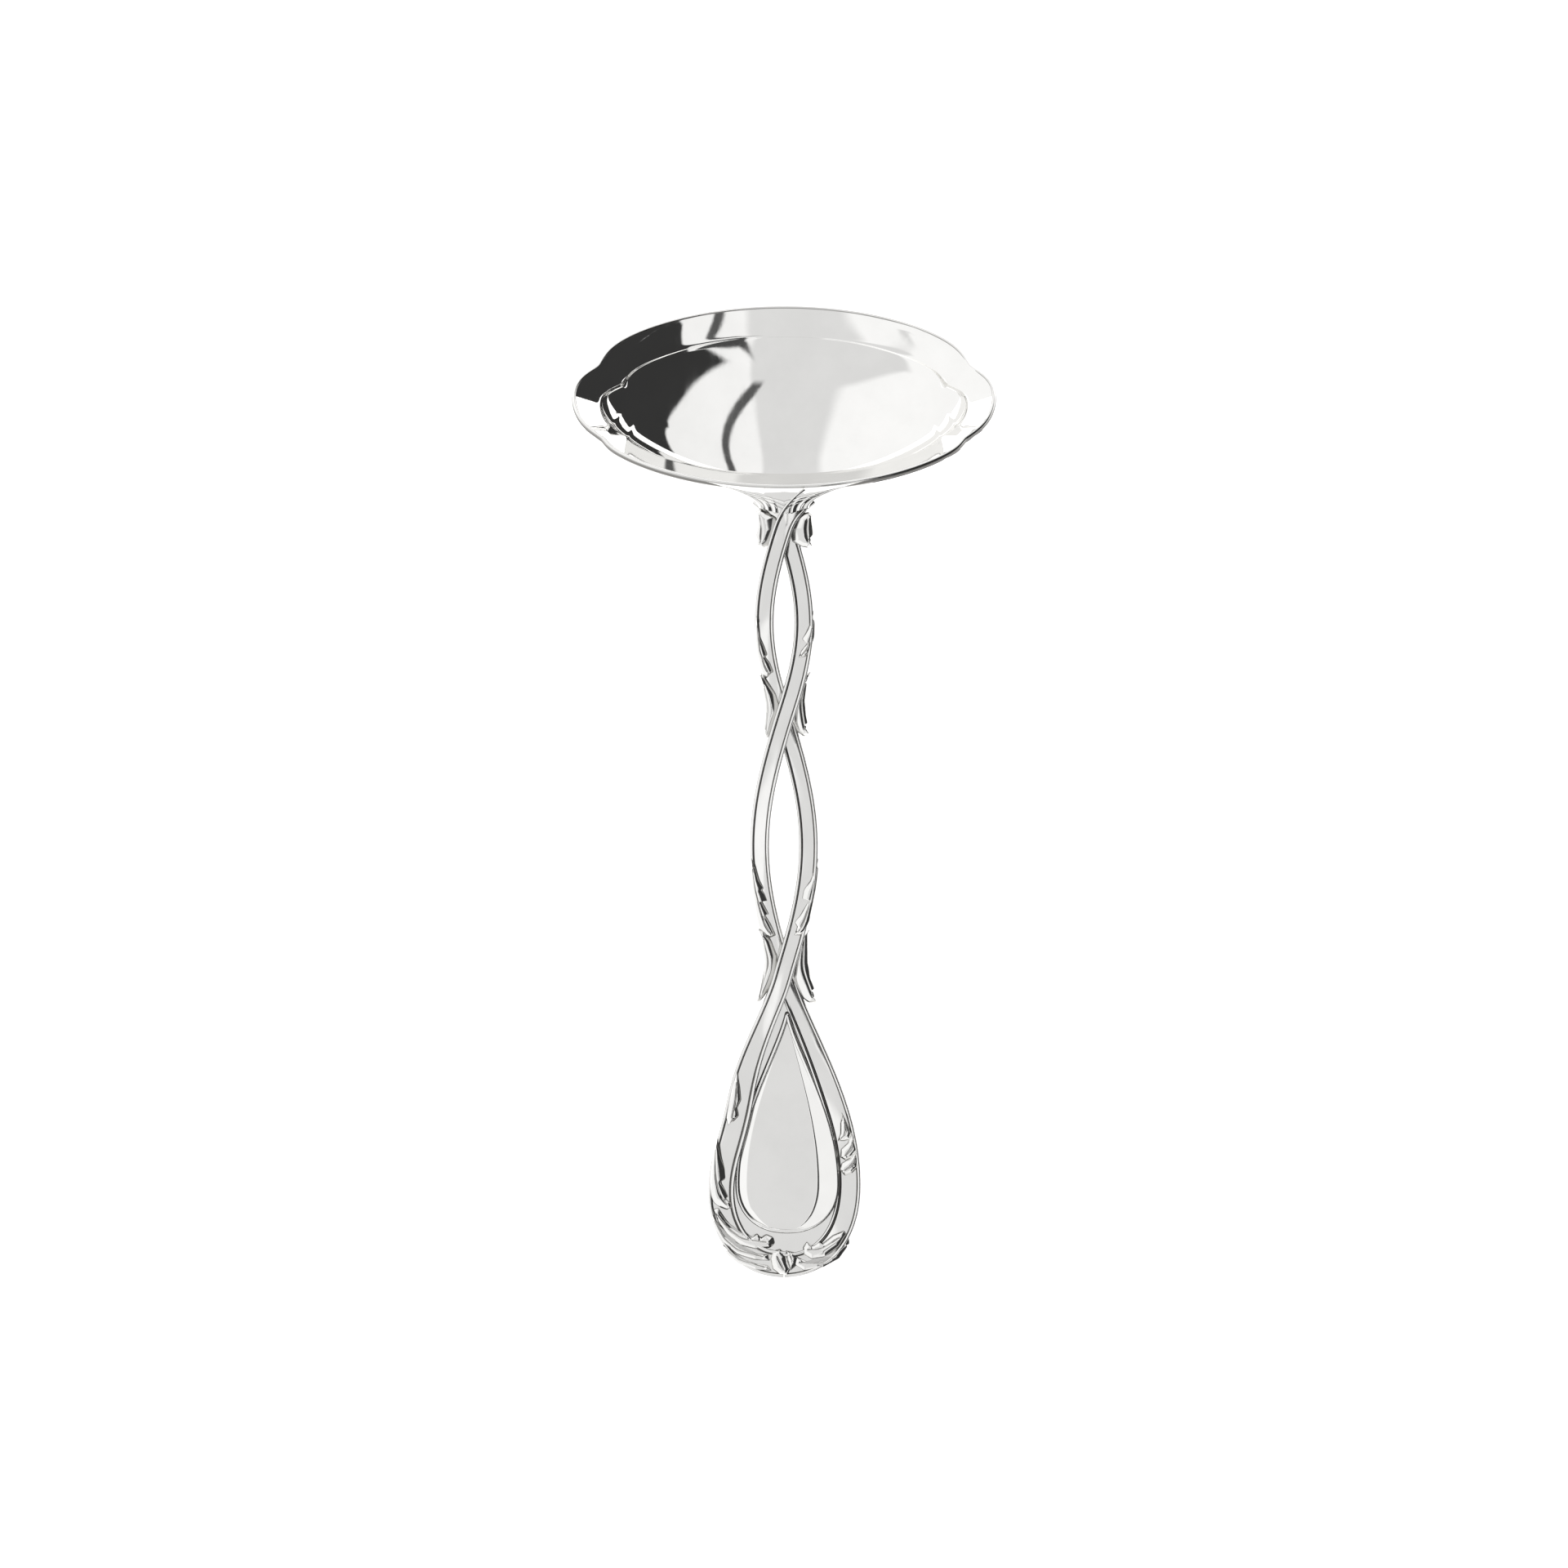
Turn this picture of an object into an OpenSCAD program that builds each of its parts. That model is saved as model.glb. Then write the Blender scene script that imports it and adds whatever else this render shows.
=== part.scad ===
// Sauce ladle. A lobed oval bowl with a pouring lip at each end sits across the end of an
// openwork handle: two ribbed ribbons twist round each other and close as a teardrop.
// The ladle lies on its back on a table. +Y runs from the handle to the bowl and +Z is up.
// The bowl's mouth faces up and leans towards +Y. Lengths are in millimetres.

/* [Bowl] */
// Length of the oval mouth, from one pouring lip to the other
bowl_w = 77.6; // [70:0.2:84]
// Width of the oval mouth, measured in its own plane
bowl_l = 43.1; // [41:0.1:46]
// Depth of the bowl below its rim
bowl_d = 15.4; // [14:0.1:17]
// How far the bowl's deepest point lies towards the handle
bowl_lean = 5.5; // [3:0.5:6.5]
// Lean of the mouth away from level when the ladle lies down
tilt = 38; // [36:0.5:41]
// Thickness of the bowl's wall
wall = 1.2; // [1:0.1:1.5]
// Width of the flared lip inside the rim
lip_w = 4.9; // [4:0.1:5.5]
// Height of the flared lip at the pouring lips
lip_h = 2.4; // [1.5:0.1:3]
// Extra height of the lip at the two far lobes
lip_gain = 1.2; // [0:0.1:1.6]
// Radius of the half-round thread along the rim
thread_r = 0.45; // [0.35:0.05:0.6]
// Inward dip of the rim between the far lobe and a pouring lip, as a share of the radius
far_notch = 0.05; // [0:0.005:0.06]
// Inward dip of the rim on the handle side of a pouring lip
near_notch = 0.022; // [0:0.002:0.04]
// Height of the chased folds inside the bowl
fold_h = 0.4; // [0:0.1:0.8]

/* [Handle] */
// Width of one ribbon
ribbon_w = 3.5; // [3.2:0.1:4.2]
// Thickness of one ribbon
ribbon_t = 2.2; // [1.8:0.1:2.6]
// Depth of the channel between a ribbon's two edge beads
channel_d = 0.35; // [0.2:0.05:0.5]
// Outer width of the upper loop
loop_1_w = 10.8; // [10:0.2:12]
// Outer width of the lower loop
loop_2_w = 12.5; // [11:0.2:14]
// Length of the upper loop between its crossings
loop_1_l = 35.3; // [32:0.5:38]
// Length of the lower loop between its crossings
loop_2_l = 46.5; // [42:0.5:50]
// Distance from the rim to the first crossing
neck_l = 7.2; // [7:0.1:8]

/* [Teardrop end] */
// Length of the end, from the last crossing
end_l = 56.8; // [54:0.2:60]
// Width of the end at its widest
end_w = 28.4; // [26:0.2:31]
// Width of the plain teardrop plate
plate_w = 18.4; // [16:0.2:19]
// Rise of the plate's dome
dome_h = 0.6; // [0.4:0.05:0.7]
// Radius of the bead round the plate
bead_r = 0.42; // [0.3:0.02:0.5]

/* [Hidden] */

// Places along the ladle, centred on its length
total_l = end_l + loop_2_l + loop_1_l + neck_l + bowl_l * cos(tilt);
y_end = -total_l / 2;
cross_3 = y_end + end_l;
cross_2 = cross_3 + loop_2_l;
cross_1 = cross_2 + loop_1_l;
y_bowl = total_l / 2 - bowl_l / 2 * cos(tilt);
y_wide = y_end + 17.4;
y_rest = y_end + 7;
y_apex = cross_1 - 2;

// Height of the ribbons' middle plane where the handle touches the table
z_rest = 1.7;
back_t = 1;
twist_h = ribbon_t / 2 - 0.1;
end_lift = 0.3;
body_a = bowl_w / 2 - lip_w;
body_b = bowl_l / 2 - lip_w;
body_d = bowl_d - lip_h;
around = 120;

function unit(v) = v / norm(v);
function mix(a, b, t) = a * (1 - t) + b * t;
function ease(a, b, x) = let (t = max(0, min(1, (x - a) / (b - a)))) t * t * (3 - 2 * t);
function bezier(p, t) = p[0] * pow(1 - t, 2) + p[1] * 2 * t * (1 - t) + p[2] * t * t;

// A closed skin over rings of equal point count, each end closed by a fan
module skin(rings) {
    n = len(rings[0]);
    m = len(rings);
    middle = function (ring) [for (v = ring) 1] * ring / n;
    points = concat([for (ring = rings) for (p = ring) p], [middle(rings[0]), middle(rings[m - 1])]);
    sides = [for (i = [0:m - 2]) for (j = [0:n - 1]) let (a = i * n, k = (j + 1) % n)
        each [[a + j, a + k, a + n + k], [a + j, a + n + k, a + n + j]]];
    first = [for (j = [0:n - 1]) [m * n, (j + 1) % n, j]];
    last = [for (j = [0:n - 1]) let (a = (m - 1) * n) [m * n + 1, a + j, a + (j + 1) % n]];
    polyhedron(points, concat(first, sides, last), convexity = 8);
}

// ---- Bowl, in its own axes: [across, towards the far rim, depth below the rim plane] ----

// The chased folds on one side, as curves seen from above: root at the rim, bend, inner tip
folds = [[[32.6, 64.4], [31, 70.4], [24.6, 73.9]],
         [[29, 62.6], [29, 69.4], [24.6, 73.9]],
         [[34.2, 78.8], [30, 80.8], [18, 86.6]]];

function notch(q, at, far_w, near_w) = exp(-pow(abs(q - at) / (q > at ? far_w : near_w), 1.6));
function rim_scale(a) = let (q = asin(sin(a)))
    1 - far_notch * notch(q, 21, 11, 8) - near_notch * notch(q, -28, 8, 5);
function nearest(p, fold) = min([for (i = [0:12]) norm(p - bezier(fold, i / 12)) + 0.04 * i]);
function fold_rise(p) = fold_h * max([for (f = folds) exp(-pow(nearest([abs(p.x), p.y], f), 2))]);

function to_world(b, z0 = 0) = [b.x, y_bowl + b.y * cos(tilt) - b.z * sin(tilt),
                                z0 - b.y * sin(tilt) - b.z * cos(tilt)];
function chased(b) = [b.x, b.y, b.z - fold_rise(to_world(b))];

// The lip grows higher from a pouring lip round to a far lobe and sinks again at the middle of
// the far rim, and the bowl follows its foot
function lip_rise(a) = let (q = asin(sin(a))) lip_gain * (ease(2, 30, q) - 0.6 * ease(45, 75, q));
function body_point(a, p, extra) = let (k = 1 - (1 - rim_scale(a)) * pow(sin(p), 4))
    [(body_a * k + extra) * sin(p) * cos(a),
     (body_b * k + extra) * sin(p) * sin(a) - bowl_lean * pow(cos(p), 2),
     lip_h + lip_rise(a) * pow(sin(p), 6) + (body_d + extra) * pow(cos(p), 1.44 + 0.5 * pow(sin(a), 2))];
function lip_point(a, t, drop) = let (r = lip_w * (1 - t) + thread_r * 0.6, k = rim_scale(a))
    [(bowl_w / 2 - r) * k * cos(a), (bowl_l / 2 - r) * k * sin(a),
     (lip_h + lip_rise(a)) * (1 - t) + drop];

inner_rings = concat([for (p = [6:7.8:84]) [for (i = [0:around - 1]) body_point(i * 360 / around, p, 0)]],
    [for (t = [0, 0.35, 0.7, 1]) [for (i = [0:around - 1]) lip_point(i * 360 / around, t, 0)]]);
outer_rings = concat([for (t = [1, 0.45]) [for (i = [0:around - 1]) lip_point(i * 360 / around, t, wall)]],
    [for (p = [82:-8.5:5]) [for (i = [0:around - 1]) body_point(i * 360 / around, p, wall)]]);
bowl_rings = [for (ring = concat(inner_rings, outer_rings)) [for (b = ring) chased(b)]];

// Round sections of the thread, which is a closed hoop along the rim
hoop = [for (i = [0:around - 1]) let (a = i * 360 / around, c = lip_point(a, 1, wall / 2),
            r = thread_r * 0.6, out = unit([bowl_l * cos(a), bowl_w * sin(a), 0]))
    [for (j = [0:7]) c + out * (r * 0.4 + thread_r * cos(j * 45)) + [0, 0, (wall / 2 + 0.1) * sin(j * 45)]]];

// The bowl's mouth centre stands this high, so that the bowl's lowest point is on the table
z_bowl = -min([for (ring = concat(bowl_rings, hoop)) for (b = ring) to_world(b).z]);
z_apex = z_bowl + bowl_l / 2 * sin(tilt) + 1.6;

module bowl_shell() {
    color("silver") skin([for (ring = bowl_rings) [for (b = ring) to_world(b, z_bowl)]]);
}

// The thread's skin joins its last section back to the first
module rim_thread() {
    n = len(hoop[0]);
    points = [for (ring = hoop) for (b = ring) to_world(b, z_bowl)];
    faces = [for (i = [0:around - 1]) for (j = [0:n - 1])
        let (a = i * n, b = ((i + 1) % around) * n, k = (j + 1) % n)
        each [[a + j, b + k, a + k], [a + j, b + j, b + k]]];
    color("gainsboro") polyhedron(points, faces, convexity = 8);
}

// ---- Handle ----

// Height of the ribbons' middle plane along the handle: two bends and a straight run
function rise_share(t) = (t - (pow(2 * t - 1, 5) + 1) / 10) / 0.8;
function handle_z(y) = z_rest + (z_apex - z_rest) * rise_share(abs(y - y_rest) / (y_apex - y_rest));
function handle_up(y) = unit([0, handle_z(y - 0.5) - handle_z(y + 0.5), 1]);

loop_1_a = (loop_1_w - ribbon_w) / 2;
loop_2_a = (loop_2_w - ribbon_w) / 2;
end_a = (end_w - ribbon_w) / 2;
end_b = y_wide - y_end - ribbon_w / 2;

// Sideways place of ribbon one along the handle; ribbon two mirrors it
function ribbon_x(y) =
    y > cross_1 ? 0.32 * (y - cross_1) + 0.1 * pow(y - cross_1, 2) :
    y > cross_2 ? -loop_1_a * sin(180 * (cross_1 - y) / loop_1_l) :
    y > cross_3 ? loop_2_a * sin(180 * (cross_2 - y) / loop_2_l) :
    -end_a * pow(sin(90 * (cross_3 - y) / (cross_3 - y_wide)), 1.25);

// Ribbon one runs flatter than ribbon two down the side of the teardrop, so it is drawn in here
function drawn_in(y, side) = side > 0 && y < cross_3 ? 1.2 * exp(-pow((y - y_wide - 11) / 8, 2)) : 0;

// Height of a ribbon above the middle plane: side is 1 for ribbon one and -1 for ribbon two
function ribbon_lift(y, side) =
    y > cross_1 ? side * twist_h * cos(15 * (y - cross_1)) - 0.05 * pow(y - cross_1, 2) :
    y > cross_2 ? side * twist_h * cos(180 * (cross_1 - y) / loop_1_l) :
    y > cross_3 ? -side * twist_h * cos(180 * (cross_2 - y) / loop_2_l) :
    mix(side * twist_h, end_lift, pow(sin(90 * min(1, (cross_3 - y) / 14)), 2));

round = 0.9;
function ribbon_path(side) = concat(
    [for (y = [cross_1 + 5.4:-1.7:y_wide + 1]) [side * ribbon_x(y) + drawn_in(y, side), y]],
    [for (a = [0:6:90]) let (y = y_wide - end_b * pow(sin(a), round))
        [-side * end_a * pow(cos(a), round) + drawn_in(y, side) * cos(a), y]]);

// Top of a ribbon across its width: a bead along each edge and a channel between them
function ribbon_top(u) = abs(u) < 0.56 ? ribbon_t / 2 - channel_d :
    ribbon_t / 2 - channel_d + channel_d * sqrt(max(0, 1 - pow((abs(u) - 0.78) / 0.22, 2)));
ribbon_section = concat([for (u = [-1, -0.93, -0.78, -0.6, 0, 0.6, 0.78, 0.93, 1])
        [u * ribbon_w / 2, ribbon_top(u)]],
    [[ribbon_w / 2, -0.5], [ribbon_w / 2 - 0.5, -ribbon_t / 2],
     [0.5 - ribbon_w / 2, -ribbon_t / 2], [-ribbon_w / 2, -0.5]]);

// Round the teardrop a ribbon reaches further inwards, to meet the plate's bead
function inner_growth(y, side) = (side > 0 ? 1.35 : 0.95) * ease(cross_3 - 6, cross_3 - 26, y);
function grown(x, grow, side) = x * side > 0 ? x + side * grow * min(1, abs(x) / (0.28 * ribbon_w)) : x;

module ribbon(side) {
    path = ribbon_path(side);
    last = len(path) - 1;
    color("silver") skin([for (i = [0:last]) let (p = path[i], ahead = path[min(i + 1, last)],
            behind = path[max(i - 1, 0)], t = unit(ahead - behind), across = [-t.y, t.x, 0],
            c = [p.x, p.y, handle_z(p.y) + ribbon_lift(p.y, side)], up = handle_up(p.y))
        [for (s = ribbon_section) c + across * grown(s.x, inner_growth(p.y, side), side) + up * s.y]]);
}
module ribbon_one() { ribbon(1); }
module ribbon_two() { ribbon(-1); }

// The neck spreads from the two ribbons to an arc of the rim, and thickens against the wall
module neck_shoulder() {
    half = 8;
    arc = 26;
    spans = [for (i = [-half:half]) i / half];
    rim_top = function (u) to_world(lip_point(-90 + arc * u, 1, 0.3), z_bowl);
    rim_low = function (u) to_world(body_point(-90 + arc * u, 66, wall * 0.7), z_bowl);
    end_at = function (u, h) let (y = cross_1 + 1.9 + 1.4 * abs(u))
        [4.6 * u, y, handle_z(y) + h * sqrt(1.05 - u * u)];
    hermite = function (p, q, v, w, t) p * (2 * t * t * t - 3 * t * t + 1) + v * (t * t * t - 2 * t * t + t)
        + q * (3 * t * t - 2 * t * t * t) + w * (t * t * t - t * t);
    color("silver") skin([for (t = [0:0.125:1]) concat(
        [for (u = spans) hermite(rim_top(u), end_at(u, 1.3), [-9 * u, -3, 4.5], [0, -7, 0], t)],
        [for (u = spans) hermite(rim_low(-u), end_at(-u, -1.5), [4 * u, -5, 2], [0, -5, 1], t)])]);
}

// A slim pointed lobe along a bend, seen from above: width and height at its middle, and
// the height of its middle line above the handle's middle plane at its root and tip
module petal(bend, wide, high, lift_0, lift_1) {
    color("gainsboro") skin([for (t = [0:0.125:1]) let (p = bezier(bend, t),
            d = unit(bezier(bend, t + 0.05) - bezier(bend, t - 0.05)), across = [-d.y, d.x, 0],
            c = [p.x, p.y, handle_z(p.y) + mix(lift_0, lift_1, t)],
            k = 0.12 + 0.88 * pow(sin(180 * pow(t, 0.8)), 0.8))
        [for (a = [0:45:315]) c - across * (wide / 2 * k * cos(a))
            + handle_up(p.y) * (high / 2 * k * sin(a))]]);
}

// A leaf lying over a ribbon: its lobes fan out from a root on the ribbon's outer edge, run
// down the edge and turn in to their tips. side is 1 on ribbon one and -1 on ribbon two
module strap_leaf(root, tips, side) {
    for (i = [0:len(tips) - 1]) {
        start = root - [sign(root.x) * 0.3 * i, 0.9 * i];
        bend = [start.x, mix(start.y, tips[i].y, 0.65)];
        petal([start, bend, tips[i]], 1.7, 1.2, ribbon_lift(start.y, side) + ribbon_t / 2 - 0.4,
              ribbon_lift(tips[i].y, side) + ribbon_t / 2 - 0.2);
    }
}

// A leaf beside a crossing, ragged at its end: three lobes run side by side, and the inner
// ones pass under the ribbons. Its outer edge runs from x_0 at the root, in towards a waist,
// and out to x_1 at the ragged end
module sprig(side, x_0, waist, x_1, y_0, y_1) {
    for (i = [0:2])
        petal([[side * (x_0 - 0.6 - i * 0.8), y_0 - i * 0.8],
               [side * (waist - 0.6 - i * 0.8), mix(y_0, y_1, 0.5)],
               [side * (x_1 - 0.3 - i * 0.9), y_1 + i * 0.8]], 1.9, 1.6, -0.2, -0.2);
}

module neck_sprig_left() { sprig(-1, 5.2, 5.3, 5.4, cross_1 + 4.5, cross_1 - 4.1); }
module neck_sprig_right() { sprig(1, 5.4, 5.2, 5.5, cross_1 + 4, cross_1 - 4.1); }
module upper_leaf_left() {
    strap_leaf([-4.8, cross_2 + 17],
               [[-3, cross_2 + 11.6], [-2, cross_2 + 9.2], [-3.3, cross_2 + 7.5]], 1);
}
module upper_leaf_right() {
    strap_leaf([5, cross_2 + 18],
               [[3.1, cross_2 + 14.4], [2.7, cross_2 + 11.1], [3.4, cross_2 + 8.4]], -1);
}
module upper_sprig_left() { sprig(-1, 4.6, 3.4, 3.8, cross_2 + 9, cross_2 - 3.1); }
module upper_sprig_right() { sprig(1, 4.9, 3.4, 4.7, cross_2 + 9, cross_2 - 3.1); }
module lower_leaf_left() {
    strap_leaf([-5.6, cross_3 + 19.7],
               [[-3.1, cross_3 + 13], [-2.8, cross_3 + 10.2], [-1.8, cross_3 + 6.8]], -1);
}
module lower_leaf_right() {
    strap_leaf([5.7, cross_3 + 19],
               [[3.3, cross_3 + 13.8], [2.5, cross_3 + 9.8], [2.6, cross_3 + 6.8]], 1);
}
module lower_sprig_left() { sprig(-1, 4.8, 2.8, 5.3, cross_3 + 7, cross_3 - 5.8); }
module lower_sprig_right() { sprig(1, 4.8, 3.5, 6.4, cross_3 + 7, cross_3 - 5.8); }

// ---- Teardrop end ----

// Half width of a teardrop at y: an ellipse below its widest line and a long taper above it
function drop_half(y, wide, low, high) = y < y_wide ?
    wide * pow(max(0, 1 - pow((y_wide - y) / (y_wide - low), 2.2)), 0.45) :
    wide * pow(max(0, cos(90 * (y - y_wide) / (high - y_wide))), 1.25);
plate_x = 0.6;
plate_low = y_end + 8.6;
plate_high = cross_3 - 7.8;

// A slab that follows the handle's bend. A section point is [share of the half width, height,
// rise], and its rise scales with the half width
module end_slab(wide, low, high, shift, section) {
    n = 26;
    stations = [for (i = [0:n]) let (a = 180 * i / n) mix(low + 0.15, high - 0.4, (1 - cos(a)) / 2)];
    skin([for (y = stations) let (w = drop_half(y, wide, low, high))
        [for (s = section) [shift + w * s.x, y, handle_z(y) + s.y + s.z * w / wide]]]);
}

module end_back() {
    h = end_lift - ribbon_t / 2 + 0.1;
    color("silver") end_slab(end_w / 2 - 1.2, y_end + 0.8, cross_3 + 2, 0,
        [[-1, h, 0], [-1, h - back_t + 0.3, 0], [-0.96, -z_rest, 0], [0, -z_rest, 0],
         [0.96, -z_rest, 0], [1, h - back_t + 0.3, 0], [1, h, 0], [0, h, 0]]);
}

module teardrop_plate() {
    color("whitesmoke") end_slab(plate_w / 2, plate_low, plate_high, plate_x,
        concat([[-1, -0.7, 0], [1, -0.7, 0]],
               [for (u = [1:-0.2:-1]) [u, 0.85, dome_h * (1 - pow(u, 4))]]));
}

module plate_bead() {
    n = 40;
    side_y = [for (i = [0:n]) mix(plate_low, plate_high, (1 - cos(180 * i / n)) / 2)];
    half = function (y) drop_half(y, plate_w / 2, plate_low, plate_high);
    loop = concat([for (i = [0:n]) [half(side_y[i]), side_y[i]]],
                  [for (i = [n - 1:-1:1]) [-half(side_y[i]), side_y[i]]]);
    m = len(loop);
    points = [for (i = [0:m - 1]) let (p = loop[i], t = unit(loop[(i + 1) % m] - loop[(i + m - 1) % m]))
        for (a = [0:60:300]) [plate_x + p.x + t.y * bead_r * cos(a), p.y - t.x * bead_r * cos(a),
                              handle_z(p.y) + 0.95 + bead_r * sin(a)]];
    faces = [for (i = [0:m - 1]) for (j = [0:5]) let (a = i * 6, b = ((i + 1) % m) * 6, k = (j + 1) % 6)
        each [[a + j, a + k, b + k], [a + j, b + k, b + j]]];
    color("gainsboro") polyhedron(points, faces, convexity = 6);
}

module shoulder_leaf() {
    petal([[-8.2, cross_3 - 18], [-7.9, cross_3 - 23], [-10.4, cross_3 - 27.6]], 1.8, 1.3, 0.9, 1.3);
}

// A leaf round the border of the end: a rib follows the border from top to foot, and lobes
// leave it and turn in over the border, each one pitch below the last
module border_leaf(top, foot, pitch, reach, drop, lobes) {
    petal([top, [foot.x, mix(top.y, foot.y, 0.6)], foot], 1.8, 1.5, 0.9, 0.9);
    for (i = [0:lobes - 1]) {
        start = mix(top, foot, i * pitch);
        petal([start, start - [0, drop], start - [reach, drop + 0.6]], 1.9, 1.5, 0.9, 1.4);
    }
}

module side_leaf() { border_leaf([-12.2, y_wide + 6.4], [-12.9, y_wide - 5.6], 0.3, -2.4, 3.2, 3); }
module wrap_leaf() { border_leaf([11, y_wide + 13.2], [12.9, y_wide + 1.6], 0.3, 2, 3, 3); }
module base_leaf_left() {
    for (i = [0:2])
        petal([[-11.8 - i * 0.3, y_end + 12.6 - i * 1.2], [-8.4 - i * 0.5, y_end + 6.6 - i * 1.4],
               [-1.8 - i * 0.5, y_end + 7.2 - i * 1.5]], 2, 1.4, 0.9, 1.4);
}
module base_leaf_right() {
    for (i = [0:1])
        petal([[11.5 + i * 0.5, y_end + 9.2 - i * 1.1], [8.2 + i * 0.4, y_end + 4.6 - i * 1.2],
               [3.4, y_end + 6 - i * 1.6]], 1.9, 1.4, 0.9, 1.4);
}
module end_bud() {
    for (i = [0:1])
        petal([[-2.2 + i * 1.6, y_end + 5.6], [-1 + i * 1.4, y_end + 3.4], [0.8 + i * 0.6, y_end + 0.7]],
              2.3, 1.8, 1.3, 0.8);
}

bowl_shell();
rim_thread();
neck_shoulder();
ribbon_one();
ribbon_two();
neck_sprig_left();
neck_sprig_right();
upper_leaf_left();
upper_leaf_right();
upper_sprig_left();
upper_sprig_right();
lower_leaf_left();
lower_leaf_right();
lower_sprig_left();
lower_sprig_right();
end_back();
teardrop_plate();
plate_bead();
shoulder_leaf();
side_leaf();
base_leaf_left();
base_leaf_right();
wrap_leaf();
end_bud();
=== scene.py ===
import math
import bpy
import numpy as np
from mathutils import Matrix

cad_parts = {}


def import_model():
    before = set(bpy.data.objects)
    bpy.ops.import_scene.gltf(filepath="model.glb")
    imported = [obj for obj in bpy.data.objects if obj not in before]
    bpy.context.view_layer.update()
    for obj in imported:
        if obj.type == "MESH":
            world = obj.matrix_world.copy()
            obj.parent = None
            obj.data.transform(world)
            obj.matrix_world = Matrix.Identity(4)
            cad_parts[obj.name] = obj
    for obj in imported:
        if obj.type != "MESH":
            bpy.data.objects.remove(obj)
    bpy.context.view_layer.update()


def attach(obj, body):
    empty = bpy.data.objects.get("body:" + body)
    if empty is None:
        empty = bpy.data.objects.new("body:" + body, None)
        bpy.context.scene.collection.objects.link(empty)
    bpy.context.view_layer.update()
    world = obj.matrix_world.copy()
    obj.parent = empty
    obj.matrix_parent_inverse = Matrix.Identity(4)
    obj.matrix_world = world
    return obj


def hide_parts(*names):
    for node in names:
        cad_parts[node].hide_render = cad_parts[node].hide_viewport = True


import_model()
FINE = 2

# ---------------------------------------------------------------- sizes, in millimetres
BOWL_W, BOWL_L, BOWL_D, BOWL_LEAN, TILT = 77.6, 43.1, 15.4, -5.5, 38.0
WALL, LIP_W, LIP_H, LIP_GAIN, THREAD_R = 1.2, 4.9, 2.4, 1.2, 0.45
FAR_NOTCH, NEAR_NOTCH = 0.05, 0.022
RIBBON_W, RIBBON_T, CHANNEL_D = 3.5, 2.2, 0.35
LOOP_1_W, LOOP_2_W, LOOP_1_L, LOOP_2_L, NECK_L = 10.8, 12.5, 35.3, 46.5, 7.2
END_L, END_W, PLATE_W, BEAD_R = 56.8, 28.4, 18.4, 0.42
COS, SIN = math.cos(math.radians(TILT)), math.sin(math.radians(TILT))
TOTAL = END_L + LOOP_2_L + LOOP_1_L + NECK_L + BOWL_L * COS
Y_END = -TOTAL / 2
CROSS_3 = Y_END + END_L
CROSS_2 = CROSS_3 + LOOP_2_L
CROSS_1 = CROSS_2 + LOOP_1_L
Y_BOWL = TOTAL / 2 - BOWL_L / 2 * COS
Y_WIDE, Y_REST, Y_APEX = Y_END + 17.4, Y_END + 7, CROSS_1 - 2
Z_REST, TWIST_H, END_LIFT = 1.7, RIBBON_T / 2 - 0.1, 0.3
BODY_A, BODY_B, BODY_D = BOWL_W / 2 - LIP_W, BOWL_L / 2 - LIP_W, BOWL_D - LIP_H
LOOP_1_A, LOOP_2_A = (LOOP_1_W - RIBBON_W) / 2, (LOOP_2_W - RIBBON_W) / 2
END_A, END_B = (END_W - RIBBON_W) / 2, Y_WIDE - Y_END - RIBBON_W / 2
PLATE_X, PLATE_LOW, PLATE_HIGH = 0.6, Y_END + 8.6, CROSS_3 - 7.8
PLATE_TOP, BEAD_TOP, BACK_TOP = 0.85, 0.95, 0.25  # over the middle of the handle's thickness
TABLE_GAP, APEX_RISE = 0.005, 1.6
RIM_SHY, CROWN_SHY = 0.006, 0.18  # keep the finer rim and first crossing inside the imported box
CHANNEL_ROLL = 0.18  # slope of a channel across the ribbon, at the widest part of a loop
BEAD_FROM = 0.64  # share of the half width where a border bead starts
FRAME_W, CAMERA_Y, CAMERA_Z, FOCAL_Z = 0.288, 0.001425, 2.52, 0.02  # metres
TENT, GREY, OPENING, SEAM, PANEL = 1.03, 0.77, 0.07, 0.10, 0.037  # brightness in the studio


def sind(x):
    return np.sin(np.radians(x))


def cosd(x):
    return np.cos(np.radians(x))


def unit(v):
    return v / np.maximum(np.linalg.norm(v, axis=-1, keepdims=True), 1e-12)


def step(a, b, x):
    t = np.clip((x - a) / (b - a), 0, 1)
    return t * t * (3 - 2 * t)


# ---------------------------------------------------------------- mesh making
def make(name, node, slot, verts, faces, crevice_shade=None, sharp=None):
    """One piece from points in millimetres, riding on the ladle and standing for a CAD node."""
    mesh = bpy.data.meshes.new(name)
    mesh.from_pydata((np.asarray(verts, float) * 0.001).tolist(), [], [list(f) for f in faces])
    mesh.update()
    mesh.polygons.foreach_set("use_smooth", [True] * len(mesh.polygons))
    if sharp:
        mesh.set_sharp_from_angle(angle=math.radians(sharp))
    # Per-point painted shade: how far the colour is darkened in crevices, grooves and under edges
    layer = mesh.attributes.new("crevice_shade", "FLOAT", "POINT")
    layer.data.foreach_set("value", np.zeros(len(verts)) if crevice_shade is None else np.asarray(crevice_shade, float))
    mesh.materials.append(MATERIALS[slot])
    piece = bpy.data.objects.new(name, mesh)
    bpy.context.scene.collection.objects.link(piece)
    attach(piece, "root")
    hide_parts(node)


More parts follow.
